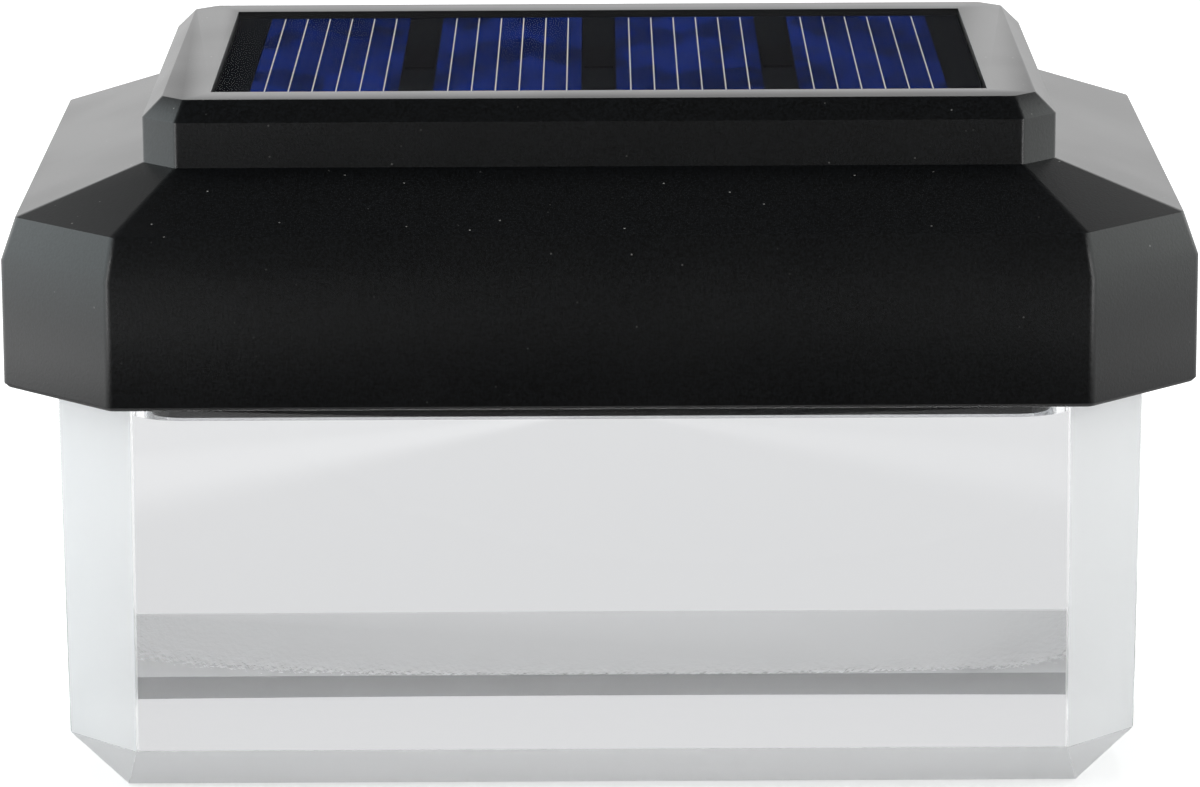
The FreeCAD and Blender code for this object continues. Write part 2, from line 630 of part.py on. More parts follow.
# ---------------------------------------------------------------- head shell
def make_cap_shell():
    body = new_body("cap_shell")
    skirt = ("cap_width", "cap_depth", "cap_corner")
    tier = ("tier_width", "tier_depth", "tier_corner")

    def ring(name, level, shape, radius):
        return soft_octagon(body_sketch(body, name, z=level), *shape, radius)

    def hollow(name, level, shape):
        return octagon(body_sketch(body, name, z=level), *shape)

    loft(body, "AdditiveLoft", [
        ring("cap_edge", "cap_foot", inset(skirt, "skirt_edge"), "skirt_round"),
        ring("cap_skirt_foot", "cap_foot + skirt_edge", skirt, "skirt_round"),
        ring("cap_skirt_top", "skirt_top", skirt, "skirt_round"),
        ring("cap_eave", "eave", inset(skirt, "eave_inset"), "skirt_round"),
        ring("cap_tier_foot", "tier_foot", tier, "tier_round"),
        ring("cap_tier_shoulder", "tier_shoulder", tier, "tier_round"),
        ring("cap_rim", "cap_top", inset(tier, "tier_bevel_inset"), "tier_round"),
    ])

    loft(body, "SubtractiveLoft", [
        hollow("hollow_edge", "cap_foot", inset(skirt, "cap_wall")),
        hollow("hollow_skirt_top", "skirt_top", inset(skirt, "cap_wall")),
        hollow("hollow_eave", "eave - roof_wall", inset(skirt, "eave_inset + cap_wall")),
        hollow("hollow_tier_foot", "tier_foot - roof_wall", inset(tier, "cap_wall")),
        hollow("hollow_ceiling", "ceiling", inset(tier, "cap_wall")),
    ])
    recess = rectangle(body_sketch(body, "recess", z="cap_top"), "recess_length", "recess_width")
    pocket(body, recess, "recess_depth")
    lead_slot = rectangle(
        body_sketch(body, "lead_slot", y="board_y", z="recess_floor"),
        "wire_pitch + 3 * wire_size",
        "3 * wire_size",
    )
    pocket(body, lead_slot, "panel_floor + cap_wall")
    bosses = round_holes(body_sketch(body, "bosses", z="ceiling"), "boss_size", "screw_span_x", "screw_span_y")
    pad(body, bosses, "ceiling - flange_top", downwards=True)
    pilots = round_holes(
        body_sketch(body, "boss_pilots", z="flange_top"),
        "screw_size + 2 * thread_play",
        "screw_span_x",
        "screw_span_y",
    )
    reach = "plug_foot + head_sink + screw_head_thick + screw_length + pilot_spare - flange_top"
    pocket(body, pilots, reach, against=False)

    # Keyholes in the back of the skirt, cut from behind: the plane's own z points to the front.
    for side, name in ((-1, "left"), (1, "right")):
        place = {"x": "%d * hanger_span / 2" % side, "y": "hanger_z", "z": "-back_face - cap_wall"}
        hole = body_sketch(body, "keyhole_" + name, role="XZ_Plane", **place)
        pocket(body, round_hole(hole, "hanger_hole"), "3 * cap_wall", against=False)
        slot = body_sketch(body, "keyslot_" + name, role="XZ_Plane", **place)
        pocket(body, upright_slot(slot, "hanger_slot", "hanger_lift"), "3 * cap_wall", against=False)
    return keep(body)


# ---------------------------------------------------------------- solar panel
def make_solar_panel():
    outline = ("solar_board_length", "solar_board_width")
    pad_hole = slab("pad_hole", "wire_pitch + 3 * wire_size", "3 * wire_size", "3 * pad_thick",
                    y="board_y", z="recess_floor - pad_thick")
    keep(cut("panel_pad", slab("pad_sheet", *outline, "pad_thick", z="recess_floor"), pad_hole))
    keep(slab("solar_board", *outline, "solar_board_thick", z="solar_board_foot"), "solar_board")

    cells = []
    links = []
    for index in range(CELL_COUNT):
        x = "%g * cell_pitch" % (index - (CELL_COUNT - 1) / 2)
        cells.append(slab("cell_%d" % index, "cell_width", "cell_length", "cell_thick", x=x, z="solar_board_top"))
        if index:
            gap_x = "%g * cell_pitch" % (index - CELL_COUNT / 2)
            links.append(slab("link_%d" % index, "link_width", "link_length", "cell_thick",
                              x=gap_x, y="link_shift", z="solar_board_top"))
    keep(joined("solar_cells", "Part::Compound", cells))
    keep(joined("cell_links", "Part::Compound", links))

    # The coating is cast over the cells, so it is hollow where they and their links lie.
    coat = slab("coat", *outline, "glaze_thick", z="solar_board_top")
    sunk = []
    for index in range(CELL_COUNT):
        x = "%g * cell_pitch" % (index - (CELL_COUNT - 1) / 2)
        sunk.append(slab("cell_room_%d" % index, "cell_width", "cell_length", "cell_thick",
                         x=x, z="solar_board_top"))
        if index:
            gap_x = "%g * cell_pitch" % (index - CELL_COUNT / 2)
            sunk.append(slab("link_room_%d" % index, "link_width", "link_length", "cell_thick",
                             x=gap_x, y="link_shift", z="solar_board_top"))
    keep(cut("panel_glaze", coat, joined("coat_rooms", "Part::MultiFuse", sunk)))


# ---------------------------------------------------------------- base plate
def make_base_plate():
    """Flange under the skirt's inside and a hollow plug that sits in the block's pocket."""
    body = new_body("base_plate")
    outline = inset(("cap_width", "cap_depth", "cap_corner"), "cap_wall + flange_gap")
    pad(body, octagon(body_sketch(body, "flange", z="flange_foot"), *outline), "flange_thick")
    plug = rounded(body_sketch(body, "plug", z="plug_foot"), "plug_length", "plug_width", "plug_radius")
    pad(body, plug, "plug_drop")
    tray = rounded(
        body_sketch(body, "tray", z="flange_top"),
        "plug_length - 2 * tray_wall",
        "plug_width - 2 * tray_wall",
        "tray_radius",
    )
    pocket(body, tray, "flange_top - tray_top")
    groove = body_sketch(body, "seal_groove", z="plug_foot + seal_level + seal_height")
    rounded(groove, "pocket_length", "pocket_width", "pocket_radius")
    rounded(groove, "plug_length - 2 * seal_depth", "plug_width - 2 * seal_depth", "plug_radius - seal_depth")
    pocket(body, groove, "seal_height")

    pillars = round_holes(body_sketch(body, "pillars", z="tray_top"), "pillar_size", "screw_span_x", "screw_span_y")
    pad(body, pillars, "flange_top - tray_top")
    holes = round_holes(
        body_sketch(body, "screw_holes", z="flange_top"),
        "screw_size + 2 * screw_play",
        "screw_span_x",
        "screw_span_y",
    )
    pocket(body, holes, "flange_top - plug_foot")
    head_room = "head_sink + screw_head_thick"
    sinks = round_holes(
        body_sketch(body, "screw_sinks", z="plug_foot + " + head_room),
        "screw_head + 2 * head_play",
        "screw_span_x",
        "screw_span_y",
    )
    pocket(body, sinks, head_room)

    make_cradle(body)
    make_board_seat(body)
    for side, name in ((-1, "left"), (1, "right")):
        notch = body_sketch(
            body, "hanger_notch_" + name,
            x="%d * hanger_span / 2" % side,
            y="back_face - cap_wall - hanger_room / 2",
            z="flange_top",
        )
        rectangle(notch, "hanger_hole + 2 * flange_gap", "hanger_room")
        pocket(body, notch, "flange_thick")
    return keep(body)


def make_cradle(body):
    """Battery opening, cover seat, end and side walls, and the cover screw's boss."""
    place = {"x": "cradle_x", "y": "battery_y"}
    for name, x in (("left", "cradle_left - cradle_wall / 2"), ("right", "cradle_right + cradle_wall / 2")):
        end = body_sketch(body, "cradle_end_" + name, x=x, y="battery_y", z="tray_top")
        pad(body, rectangle(end, "cradle_wall", "cradle_width + 2 * cradle_side"), "cradle_height")
    for side, name in ((-1, "front"), (1, "rear")):
        y = "battery_y + %d * (cradle_width + cradle_side) / 2" % side
        wall = body_sketch(body, "cradle_side_" + name, x="cradle_x", y=y, z="tray_top")
        pad(body, rectangle(wall, "cradle_room + 2 * cradle_wall", "cradle_side"), "cradle_side_height")
    hatch = body_sketch(body, "hatch", z="tray_top", **place)
    pocket(body, rectangle(hatch, "cradle_room - 2 * hatch_ledge", "cradle_width"), "tray_floor")
    seat = body_sketch(body, "cover_seat", x="cover_x", y="battery_y", z="plug_foot + cover_thick")
    rectangle(seat, "cover_length + 2 * cover_play", "cover_width + 2 * cover_play")
    pocket(body, seat, "cover_thick")
    boss = body_sketch(body, "cover_boss", x="cover_screw_x", y="battery_y", z="tray_top")
    pad(body, round_hole(boss, "cover_boss_size"), "cover_boss_height")
    pilot = body_sketch(body, "cover_pilot", x="cover_screw_x", y="battery_y", z="tray_top + cover_boss_height")
    round_hole(pilot, "cover_screw_size + 2 * thread_play")
    pocket(body, pilot, "cover_boss_height + tray_floor - cover_thick")


def make_board_seat(body):
    """Standoffs for the circuit board, holes for the lamps and the switch's window."""
    centre = {"y": "board_y"}
    standoffs = body_sketch(body, "standoffs", z="tray_top", **centre)
    pad(body, round_holes(standoffs, "standoff_size", "board_screw_span"), "standoff_height")
    pilots = body_sketch(body, "standoff_pilots", z="board_foot", **centre)
    round_holes(pilots, "board_screw_size + 2 * thread_play", "board_screw_span")
    pocket(body, pilots, "board_screw_length - board_thick + 2 * thread_play")
    lamps = body_sketch(body, "lamp_holes", z="tray_top", **centre)
    pocket(body, round_holes(lamps, "led_size + 2 * led_play", "led_span"), "tray_floor")
    window = body_sketch(body, "switch_window", z="tray_top", **centre)
    rectangle(window, "knob_size + switch_travel + 4 * slider_play", "knob_size + 4 * slider_play")
    pocket(body, window, "tray_floor")
    dish = body_sketch(body, "switch_dish", z="plug_foot + finger_depth", **centre)
    pocket(body, rectangle(dish, "finger_length", "finger_width"), "finger_depth")


# ---------------------------------------------------------------- seals
def make_seals():
    gasket = new_body("head_gasket")
    sheet_outline = body_sketch(gasket, "gasket_outline", z="block_height")
    octagon(sheet_outline, *inset(("block_width", "block_depth", "block_corner"), "gasket_margin"))
    lip = "2 * gasket_lip"
    rounded(sheet_outline, "pocket_length + " + lip, "pocket_width + " + lip, "pocket_radius + gasket_lip")
    pad(gasket, sheet_outline, "gasket_thick")
    keep(gasket)

    ring = new_body("plug_seal")
    outline = body_sketch(ring, "seal_outline", z="plug_foot + seal_level")
    rounded(outline, "plug_length + 2 * seal_proud", "plug_width + 2 * seal_proud", "plug_radius + seal_proud")
    rounded(outline, "plug_length - 2 * seal_depth", "plug_width - 2 * seal_depth", "plug_radius - seal_depth")
    pad(ring, outline, "seal_height")
    keep(ring)


# ---------------------------------------------------------------- fasteners
def screw(name, size, length, head, head_thick, x, y, level, upwards):
    """A screw whose head bears at the level, with its shank above or below."""
    head_foot = "(%s) - %s" % (level, head_thick) if upwards else level
    shank_foot = level if upwards else "(%s) - %s" % (level, length)
    parts = [
        rod(name + "_head", head, head_thick, x, y, head_foot),
        rod(name + "_shank", size, length, x, y, shank_foot),
    ]
    return joined(name, "Part::MultiFuse", parts)


def make_fasteners():
    screws = []
    for side_x in (-1, 1):
        for side_y in (-1, 1):
            screws.append(screw(
                "base_screw_%d" % len(screws), "screw_size", "screw_length", "screw_head", "screw_head_thick",
                "%d * screw_span_x / 2" % side_x,
                "%d * screw_span_y / 2" % side_y,
                "plug_foot + head_sink + screw_head_thick", True,
            ))
    keep(joined("base_screws", "Part::Compound", screws))
    keep(screw(
        "cover_screw", "cover_screw_size", "cover_screw_length", "cover_screw_head", "cover_screw_head_thick",
        "cover_screw_x", "battery_y", "plug_foot + cover_screw_head_thick", True,
    ))
    pair = [
        screw(
            "board_screw_" + name, "board_screw_size", "board_screw_length", "board_screw_head",
            "board_screw_head_thick", "%d * board_screw_span / 2" % side, "board_y", "board_top", False,
        )
        for side, name in ((-1, "left"), (1, "right"))
    ]
    keep(joined("board_screws", "Part::Compound", pair))


# ---------------------------------------------------------------- battery and its contacts
def make_battery():
    button_x = "battery_left + battery_length"
    parts = [
        rod("battery_can", "battery_size", "battery_length", "battery_left", "battery_y", "battery_level", ALONG_X),
        rod("battery_button", "button_size", "button_length", button_x, "battery_y", "battery_level", ALONG_X),
    ]
    keep(joined("battery", "Part::MultiFuse", parts))
    plates = []
    for name, x in (("minus", "cradle_left + contact_thick / 2"), ("plus", "cradle_right - contact_thick / 2")):
        plates.append(slab(
            "contact_" + name, "contact_thick", "contact_width", "contact_height", x=x, y="battery_y", z="tray_top"
        ))
    keep(joined("contact_plates", "Part::Compound", plates))
    keep(make_spring())

    body = new_body("battery_cover")
    sheet_sketch = body_sketch(body, "cover_outline", x="cover_x", y="battery_y", z="plug_foot")
    pad(body, rectangle(sheet_sketch, "cover_length", "cover_width"), "cover_thick")
    hole = body_sketch(body, "cover_hole", x="cover_screw_x", y="battery_y", z="plug_foot + cover_thick")
    pocket(body, round_hole(hole, "cover_screw_size + 2 * screw_play"), "cover_thick")
    sink = body_sketch(body, "cover_sink", x="cover_screw_x", y="battery_y", z="plug_foot + cover_screw_head_thick")
    pocket(body, round_hole(sink, "cover_screw_head + 2 * head_play"), "cover_screw_head_thick")
    keep(body)


def wire_outline(centre, across, upward, size, sides):
    """A wire's outline with flat sides, drawn on two directions at right angles."""
    corners = []
    for corner in range(sides + 1):
        turn = 2 * math.pi * corner / sides
        corners.append(centre + across * (size / 2 * math.cos(turn)) + upward * (size / 2 * math.sin(turn)))
    return Part.makePolygon(corners)


def make_spring():
    """A coned spring from the minus plate to the battery."""
    wire = number("spring_wire")
    height = number("spring_length") - wire
    wide = (number("spring_size") - wire) / 2
    narrow = wide / 2
    cone = math.degrees(math.atan2(wide - narrow, height))
    path = Part.makeHelix(height / SPRING_TURNS, height, wide, -cone)
    profile = wire_outline(FreeCAD.Vector(wide, 0, 0), FreeCAD.Vector(1, 0, 0), FreeCAD.Vector(0, 0, 1), wire, 6)
    spring = doc.addObject("Part::Feature", "contact_spring")
    spring.Shape = Part.Wire(path).makePipeShell([profile], True, True)
    base = FreeCAD.Vector(
        number("cradle_left + contact_thick") + wire / 2,
        number("battery_y"),
        number("battery_level"),
    )
    spring.Placement = FreeCAD.Placement(base, ALONG_X)
    return spring


# ---------------------------------------------------------------- circuit board
def make_electronics():
    body = new_body("circuit_board")
    outline = body_sketch(body, "board_outline", y="board_y", z="board_foot")
    pad(body, rectangle(outline, "board_length", "board_width"), "board_thick")
    holes = body_sketch(body, "board_holes", y="board_y", z="board_top")
    pocket(body, round_holes(holes, "board_screw_size + 2 * screw_play", "board_screw_span"), "board_thick")
    keep(body)
    keep(slab("driver_chip", "chip_length", "chip_width", "chip_thick", "chip_x", "board_y", "board_top"), "driver_chip")
    keep(rod("inductor", "coil_size", "coil_height", "coil_x", "board_y", "board_top"), "inductor")
    for side, name in ((-1, "led_left"), (1, "led_right")):
        x = "%d * led_span / 2" % side
        tip_centre = "board_foot - led_length + led_size / 2"
        dome = doc.addObject("Part::Sphere", name + "_dome")
        bind(dome, Radius="led_size / 2")
        parts = [
            rod(name + "_rim", "led_rim", "led_rim_thick", x, "board_y", "board_foot - led_rim_thick"),
            rod(name + "_barrel", "led_size", "led_length - led_size / 2", x, "board_y", tip_centre),
            move(dome, x, "board_y", tip_centre),
        ]
        keep(joined(name, "Part::MultiFuse", parts))

    # The switch hangs under the board; its slider is held by a lip and pokes through the tray floor.
    switch_foot = "board_foot - switch_height"
    case = slab("switch_case", "switch_length", "switch_width", "switch_height", y="board_y", z=switch_foot)
    room = slab(
        "slider_room",
        "slider_base_length + switch_travel + 2 * slider_play",
        "slider_base_width + 2 * slider_play",
        "slider_base_height + 2 * slider_play",
        y="board_y",
        z=switch_foot + " + switch_skin",
    )
    mouth = slab(
        "slider_mouth",
        "knob_size + switch_travel + 2 * slider_play",
        "knob_size + 2 * slider_play",
        "2 * switch_skin",
        y="board_y",
        z=switch_foot + " - switch_skin / 2",
    )
    keep(cut("switch_body", case, joined("switch_hollow", "Part::MultiFuse", [room, mouth])))
    rest_x = "(-switch_travel / 2)"
    base_foot = switch_foot + " + switch_skin + slider_play"
    knob_foot = "plug_foot + knob_sink"
    parts = [
        slab("slider_base", "slider_base_length", "slider_base_width", "slider_base_height",
             rest_x, "board_y", base_foot),
        slab("slider_knob", "knob_size", "knob_size", base_foot + " - (%s)" % knob_foot,
             rest_x, "board_y", knob_foot),
    ]
    keep(joined("switch_slider", "Part::MultiFuse", parts))


# ---------------------------------------------------------------- leads
def lead(name, route):
    """An eight-sided lead along straight runs joined by tangent arcs."""
    points = [FreeCAD.Vector(*[number(text) for text in point]) for point in route]
    radius = number("wire_bend")
    edges = []
    start = points[0]
    for before, corner, after in zip(points, points[1:], points[2:]):
        arrive = (corner - before).normalize()
        leave = (after - corner).normalize()
        turn = arrive.getAngle(leave)
        reach = radius * math.tan(turn / 2)
        first = corner - arrive * reach
        last = corner + leave * reach
        inward = (leave - arrive).normalize()
        middle = corner + inward * (radius / math.cos(turn / 2) - radius)
        edges.append(Part.LineSegment(start, first).toShape())
        edges.append(Part.Arc(first, middle, last).toShape())
        start = last
    edges.append(Part.LineSegment(start, points[-1]).toShape())
    path = Part.Wire(edges)
    size = number("wire_size")
    heading = (points[1] - points[0]).normalize()
    across = heading.cross(points[2] - points[1]).normalize()
    tube = path.makePipeShell([wire_outline(points[0], across, heading.cross(across), size, 8)], True, False)
    expected = math.sqrt(2) / 2 * size ** 2 * path.Length
    if abs(tube.Volume - expected) > 0.01 * expected:
        raise ValueError(name + " is not a whole tube")
    result = doc.addObject("Part::Feature", name)
    result.Shape = tube
    return keep(result)


def make_leads():
    """Panel leads drop through the cap's slot to the board; battery leads arch over from the contacts."""
    board_hole = "board_top"
    aside = "wire_pitch / 2"
    for name, side in (("panel_wire_red", -1), ("panel_wire_black", 1)):
        x = "%d * %s" % (side, aside)
        wide = "%d * (%s + 2 * wire_bend)" % (side, aside)
        low = "board_top + 2.5 * wire_bend"
        high = "board_top + 5 * wire_bend"
        lead(name, [
            (wide, "board_y + board_width / 4", board_hole),
            (wide, "board_y + board_width / 4", low),
            (x, "board_y", high),
            (x, "board_y", "solar_board_foot"),
        ])
    over = "tray_top + contact_height + 1.5 * wire_bend"
    landing = "board_y - board_width / 3"
    for name, x, board_x in (
        ("battery_wire_black", "cradle_left + contact_thick / 2", "-board_length / 2 + 2 * wire_bend"),
        ("battery_wire_red", "cradle_right - contact_thick / 2", "board_length / 2 - 2 * wire_bend"),
    ):
        lead(name, [
            (x, "battery_y", "tray_top + contact_height"),
            (x, "battery_y", over),
            (board_x, landing, over),
            (board_x, landing, board_hole),
        ])


# ---------------------------------------------------------------- the whole light
make_clear_block()
make_cap_shell()
make_solar_panel()
make_base_plate()
make_seals()
make_fasteners()
make_battery()
make_electronics()
make_leads()
doc.recompute()

CUTTERS = ("PartDesign::Pocket", "PartDesign::SubtractiveLoft")
for item in doc.Objects:
    if "Invalid" in item.State or "Error" in item.State:
        raise ValueError(item.Name + " failed")
    if item.TypeId in CUTTERS and item.Shape.Volume > item.BaseFeature.Shape.Volume - 0.001:
        raise ValueError(item.Name + " cuts nothing")
for item in nodes:
    if item.Shape.isNull() or not item.Shape.isValid():
        raise ValueError(item.Label + " is not a valid solid")

os.makedirs("parts", exist_ok=True)
whole = FreeCAD.BoundBox()
for item in nodes:
    whole.add(item.Shape.optimalBoundingBox(True, False))
    item.Shape.exportStep("parts/%s.step" % item.Label)
    print("%-20s %d solid(s), %10.1f mm3" % (item.Label, len(item.Shape.Solids), item.Shape.Volume))
print("%d nodes, overall %.1f x %.1f x %.1f mm" % (len(nodes), whole.XLength, whole.YLength, whole.ZLength))
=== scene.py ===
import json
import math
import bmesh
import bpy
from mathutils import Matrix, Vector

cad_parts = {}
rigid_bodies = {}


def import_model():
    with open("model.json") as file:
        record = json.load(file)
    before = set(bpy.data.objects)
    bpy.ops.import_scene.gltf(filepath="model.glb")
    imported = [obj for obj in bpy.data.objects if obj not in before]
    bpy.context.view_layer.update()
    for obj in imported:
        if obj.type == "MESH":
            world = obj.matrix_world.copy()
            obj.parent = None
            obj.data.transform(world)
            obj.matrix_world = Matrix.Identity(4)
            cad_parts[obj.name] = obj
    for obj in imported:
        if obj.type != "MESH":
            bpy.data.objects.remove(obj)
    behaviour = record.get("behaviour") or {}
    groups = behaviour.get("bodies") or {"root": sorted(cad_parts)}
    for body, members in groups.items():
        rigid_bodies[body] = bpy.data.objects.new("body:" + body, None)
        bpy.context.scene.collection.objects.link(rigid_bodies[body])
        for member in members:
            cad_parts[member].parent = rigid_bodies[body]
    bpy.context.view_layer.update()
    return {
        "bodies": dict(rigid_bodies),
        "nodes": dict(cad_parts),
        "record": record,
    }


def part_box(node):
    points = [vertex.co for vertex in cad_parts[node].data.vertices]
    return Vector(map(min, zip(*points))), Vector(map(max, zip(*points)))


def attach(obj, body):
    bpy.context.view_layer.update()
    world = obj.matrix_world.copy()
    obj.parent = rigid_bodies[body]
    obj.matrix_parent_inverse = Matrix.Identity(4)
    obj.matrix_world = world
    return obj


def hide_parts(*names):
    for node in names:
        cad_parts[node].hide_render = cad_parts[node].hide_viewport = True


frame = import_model()

# %% [markdown]
# # A fence light on a clear block
#
# The real light has two halves. A black moulded head carries a small solar
# panel on a raised tier, and a solid block of clear acrylic stands under it.
# Two lamps in the head shine down into the block.
# The exact model of every piece is loaded already. This lesson gives the
# pieces their looks: fine edges, finishes, a studio and a camera.

MM = 0.001
nodes = frame["nodes"]
scene = bpy.context.scene

# %% [markdown]
# ## The camera
#
# The photograph was taken from straight in front and a little above, with a
# long lens from about 60 cm away. That is why the head's sides hardly
# converge. The camera is turned about its own axis by a quarter of a degree,
# because the real one wasn't quite level.

# %% The camera
camera_data = bpy.data.cameras.new("camera")
camera = bpy.data.objects.new("camera", camera_data)
scene.collection.objects.link(camera)
scene.camera = camera
camera_data.sensor_width = 36
camera_data.lens = 179.93
camera_data.clip_start = 0.05
camera_data.clip_end = 20
camera_place = (-0.00003, -0.62168, 0.17733)
look_down = 0.2284  # radians below the horizon
roll = -0.0049
tilt = math.radians(90) - look_down
camera.matrix_world = (
    Matrix.Translation(camera_place)
    @ Matrix.Rotation(tilt, 4, "X")
    @ Matrix.Rotation(roll, 4, "Z")
)
print("camera tilt below the horizon:", round(90 - math.degrees(tilt), 2), "degrees")

# %% [markdown]
# ## The studio
#
# The light was photographed on a white ground with a white backdrop behind
# it. The front is darker than the back, so the head's upright front face is
# almost black, while its top mirrors the backdrop and looks grey. Two
# soft boxes, one on each side, light the slanted corners.
# The backdrop is the world itself. It is plain white to the camera and
# through glass, and in reflections it is white behind and dark in front.


# %% Small helpers for node trees
def new_material(name):
    material = bpy.data.materials.new(name)
    material.use_nodes = True
    tree = material.node_tree
    shader = tree.nodes["Principled BSDF"]
    return material, tree, shader


def add(tree, kind, **settings):
    """Add a node. Names of its properties are set first, then its inputs by name."""
    node = tree.nodes.new(kind)
    for name, value in settings.items():
        if hasattr(node, name):
            setattr(node, name, value)
        else:
            node.inputs[name.replace("_", " ")].default_value = value
    return node


def wire(tree, source, target):
    tree.links.new(source, target)


# %% The world: a white backdrop behind, dark above and in front
world = bpy.data.worlds.new("studio")
scene.world = world
world.use_nodes = True
sky = world.node_tree
sky.nodes.clear()


def ramp(tree, source, start, end, low, high):
    """Turn source smoothly from low to high between start and end."""
    node = add(tree, "ShaderNodeMapRange", interpolation_type="SMOOTHSTEP")
    for name, value in (("From Min", start), ("From Max", end), ("To Min", low), ("To Max", high)):
        node.inputs[name].default_value = value
    wire(tree, source, node.inputs["Value"])
    return node.outputs["Result"]


def maths(tree, operation, first, second):
    """A Math node on two sockets, or on a socket and a number."""
    node = add(tree, "ShaderNodeMath", operation=operation)
    for socket, value in zip(node.inputs, (first, second)):
        if isinstance(value, (int, float)):
            socket.default_value = value
        else:
            wire(tree, value, socket)
    return node.outputs[0]


def blend(tree, factor, low, high):
    """Mix two colours, given as numbers or as sockets, and return the colour."""
    node = add(tree, "ShaderNodeMix", data_type="RGBA")
    colours = [item for item in node.inputs if item.type == "RGBA"]
    for socket, value in zip(colours, (low, high)):
        if isinstance(value, tuple):
            socket.default_value = (*value, 1)
        else:
            wire(tree, value, socket)
    wire(tree, factor, node.inputs["Factor"])
    return next(item for item in node.outputs if item.type == "RGBA")


direction = add(sky, "ShaderNodeTexCoord")
split = add(sky, "ShaderNodeSeparateXYZ")
wire(sky, direction.outputs["Generated"], split.inputs[0])
behind = ramp(sky, split.outputs["Y"], 0.1, 0.6, 0.0, 1.0)
not_above = ramp(sky, split.outputs["Z"], 0.2, 0.72, 1.0, 0.0)
backdrop = maths(sky, "MULTIPLY", behind, not_above)
mirrored = maths(sky, "ADD", maths(sky, "MULTIPLY", backdrop, 2.0), 0.06)
rays = add(sky, "ShaderNodeLightPath")
through = rays.outputs["Is Transmission Ray"]
bounced = maths(sky, "MULTIPLY", through, maths(sky, "MINIMUM", rays.outputs["Glossy Depth"], 1.0))
straight = maths(sky, "SUBTRACT", through, bounced)
clear_view = maths(sky, "MAXIMUM", rays.outputs["Is Camera Ray"], straight)
turned = maths(sky, "MULTIPLY", bounced, ramp(sky, split.outputs["Y"], -0.5, 0.1, 0.12, 1.2))
reflected = maths(sky, "SUBTRACT", rays.outputs["Is Glossy Ray"], through)
in_mirror = maths(sky, "MAXIMUM", turned, maths(sky, "MULTIPLY", reflected, mirrored))
fill = maths(sky, "MULTIPLY", rays.outputs["Is Diffuse Ray"], 0.4)
strength = maths(sky, "MAXIMUM", maths(sky, "MAXIMUM", clear_view, in_mirror), fill)
ground = add(sky, "ShaderNodeBackground")
wire(sky, strength, ground.inputs["Strength"])
world_out = add(sky, "ShaderNodeOutputWorld")
wire(sky, ground.outputs[0], world_out.inputs["Surface"])
scene.view_settings.view_transform = "Standard"
print("world nodes:", len(sky.nodes))


# %% Soft boxes left, right and above
def soft_box(name, place, size, power, aim=(0, 0, 0.04), colour=(1, 1, 1)):
    lamp = bpy.data.lights.new(name, "AREA")
    lamp.shape = "RECTANGLE"
    lamp.size, lamp.size_y = size
    lamp.energy = power
    lamp.color = colour
    light = bpy.data.objects.new(name, lamp)
    scene.collection.objects.link(light)
    light.location = place
    light.rotation_euler = (Vector(aim) - Vector(place)).to_track_quat("-Z", "Y").to_euler()
    return light


box_side, box_level, box_size = 0.85, 0.52, (1.2, 1.0)
level_aim = (0, 0, box_level)
soft_box("left_box", (-box_side, 0.0, box_level), box_size, 7.2, level_aim, colour=(0.9, 1.0, 1.02))
soft_box("right_box", (box_side, 0.0, box_level), box_size, 4.8, level_aim, colour=(0.95, 1.0, 0.98))
strip_away, strip_level, strip_size = 0.46, 0.1, (0.09, 0.5)
for side in (-1, 1):
    soft_box("strip_box", (strip_away * side, -strip_away, strip_level), strip_size, 1.1, aim=(0, 0, 0.03))
top_box = soft_box("top_box", (0, 0.3, 1.2), (0.8, 0.8), 6.0)
top_box.visible_glossy = False

# %% [markdown]
# The ground is one large plane. Its own colour is a pale grey, and a little
# light is added where the camera looks at it, which lifts it to white and
# still leaves the shadow under the block. Where the glass or a mirror looks
# at it, its colour is black and all its light is painted by place: in
# mirrors a painted glow lies near and behind the block and in a band to each
# side, stronger on the left; through the glass it is painted almost evenly
# bright, with painted light under the block and painted shade in front of it.

# %% The ground
floor_mesh = bpy.data.meshes.new("ground")
ground_drop = 0.2 * MM  # a hair under the block, so that the two faces don't coincide
shape = bmesh.new()
corners = bmesh.ops.create_grid(shape, x_segments=1, y_segments=1, size=4)["verts"]
bmesh.ops.translate(shape, vec=(0, 0, -ground_drop), verts=corners)
shape.to_mesh(floor_mesh)
shape.free()
floor = bpy.data.objects.new("ground", floor_mesh)
scene.collection.objects.link(floor)
material, tree, shader = new_material("ground")
shader.inputs["Roughness"].default_value = 0.9
shader.inputs["Specular IOR Level"].default_value = 0.1
view = add(tree, "ShaderNodeLightPath")
glass, eye = view.outputs["Is Transmission Ray"], view.outputs["Is Camera Ray"]
mirror = maths(tree, "MAXIMUM", maths(tree, "SUBTRACT", view.outputs["Is Glossy Ray"], glass), 0.0)
along = add(tree, "ShaderNodeSeparateXYZ")
wire(tree, add(tree, "ShaderNodeTexCoord").outputs["Object"], along.inputs[0])
# Painted glow in mirrors: the floor is dark far in front of the block and glows nearer to it and behind it.
painted_glow_near_block = ramp(tree, along.outputs["Y"], -0.1, -0.05, 0.02, 0.45)
away = maths(tree, "ABSOLUTE", along.outputs["X"], 0.0)
